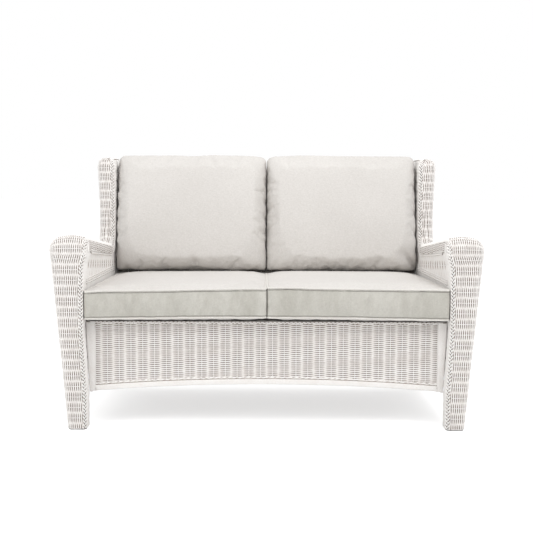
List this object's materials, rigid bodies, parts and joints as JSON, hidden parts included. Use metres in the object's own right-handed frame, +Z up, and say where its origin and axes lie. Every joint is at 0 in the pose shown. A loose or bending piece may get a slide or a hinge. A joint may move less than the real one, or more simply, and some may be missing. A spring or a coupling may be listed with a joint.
{
  "type": "patio loveseat",
  "caption": "Outdoor woven resin loveseat with rolled arms, wing sides, an arched apron and loose boxed seat and plump back cushions on a steel tube frame",
  "frame": {"origin": "on the floor, under the middle of the bounding box", "axes": "+X to the right of someone who looks at its front, the front faces -Y, +Z up"},
  "size_m": [1.35, 0.8002, 0.86],
  "materials": {
    "resin_wicker": "satin",
    "cushion_fabric": "matte",
    "cushion_filling": "matte",
    "coated_steel": "satin",
    "fastener": "satin",
    "glide": "matte"
  },
  "bodies": {
    "frame": {"front_leg_tube_right": "coated_steel", "front_leg_tube_left": "coated_steel", "rear_post_tube_right": "coated_steel", "rear_post_tube_left": "coated_steel", "side_seat_rail_right": "coated_steel", "side_seat_rail_left": "coated_steel", "side_bottom_rail_right": "coated_steel", "side_bottom_rail_left": "coated_steel", "wing_tube_right": "coated_steel", "wing_tube_left": "coated_steel", "seat_side_rail_right": "coated_steel", "seat_side_rail_left": "coated_steel", "back_stile_right": "coated_steel", "back_stile_left": "coated_steel", "rear_bottom_rail": "coated_steel", "arm_hoops": "coated_steel", "seat_front_rail": "coated_steel", "seat_rear_rail": "coated_steel", "seat_cross_bars": "coated_steel", "apron_bottom_rail": "coated_steel", "apron_uprights": "coated_steel", "back_lower_rail": "coated_steel", "back_top_rail": "coated_steel", "back_struts": "coated_steel", "back_roll_rail": "coated_steel", "front_leg_weave_right": "resin_wicker", "front_leg_weave_left": "resin_wicker", "rear_leg_weave_right": "resin_wicker", "rear_leg_weave_left": "resin_wicker", "arm_weave_right": "resin_wicker", "arm_weave_left": "resin_wicker", "wing_weave_right": "resin_wicker", "wing_weave_left": "resin_wicker", "side_weave_right": "resin_wicker", "side_weave_left": "resin_wicker", "inner_arm_weave_right": "resin_wicker", "inner_arm_weave_left": "resin_wicker", "apron_end_wrap_right": "resin_wicker", "apron_end_wrap_left": "resin_wicker", "seat_deck_weave": "resin_wicker", "front_apron_weave": "resin_wicker", "apron_rope": "resin_wicker", "back_front_weave": "resin_wicker", "back_rear_weave": "resin_wicker", "back_top_weave": "resin_wicker", "rear_skirt_weave": "resin_wicker", "foot_glides": "glide", "seat_bolts": "fastener", "seat_nuts": "fastener", "seat_spacers": "fastener", "back_bolts": "fastener"},
    "seat_cushion_right": {"seat_cushion_cover_right": "cushion_fabric", "seat_cushion_core_right": "cushion_filling"},
    "seat_cushion_left": {"seat_cushion_cover_left": "cushion_fabric", "seat_cushion_core_left": "cushion_filling"},
    "back_cushion_right": {"back_cushion_cover_right": "cushion_fabric", "back_cushion_core_right": "cushion_filling"},
    "back_cushion_left": {"back_cushion_cover_left": "cushion_fabric", "back_cushion_core_left": "cushion_filling"}
  },
  "joints": [
    {"name": "seat_cushion_right_lift_out", "type": "slide", "parent": "frame", "child": "seat_cushion_right", "axis": [0, -1, 0], "range_m": [0, 0.6]},
    {"name": "back_cushion_right_lift_out", "type": "slide", "parent": "frame", "child": "back_cushion_right", "axis": [0, 0.1908, 0.9816], "range_m": [0, 0.45]},
    {"name": "seat_cushion_left_lift_out", "type": "slide", "parent": "frame", "child": "seat_cushion_left", "axis": [0, -1, 0], "range_m": [0, 0.6]},
    {"name": "back_cushion_left_lift_out", "type": "slide", "parent": "frame", "child": "back_cushion_left", "axis": [0, 0.1908, 0.9816], "range_m": [0, 0.45]}
  ]
}
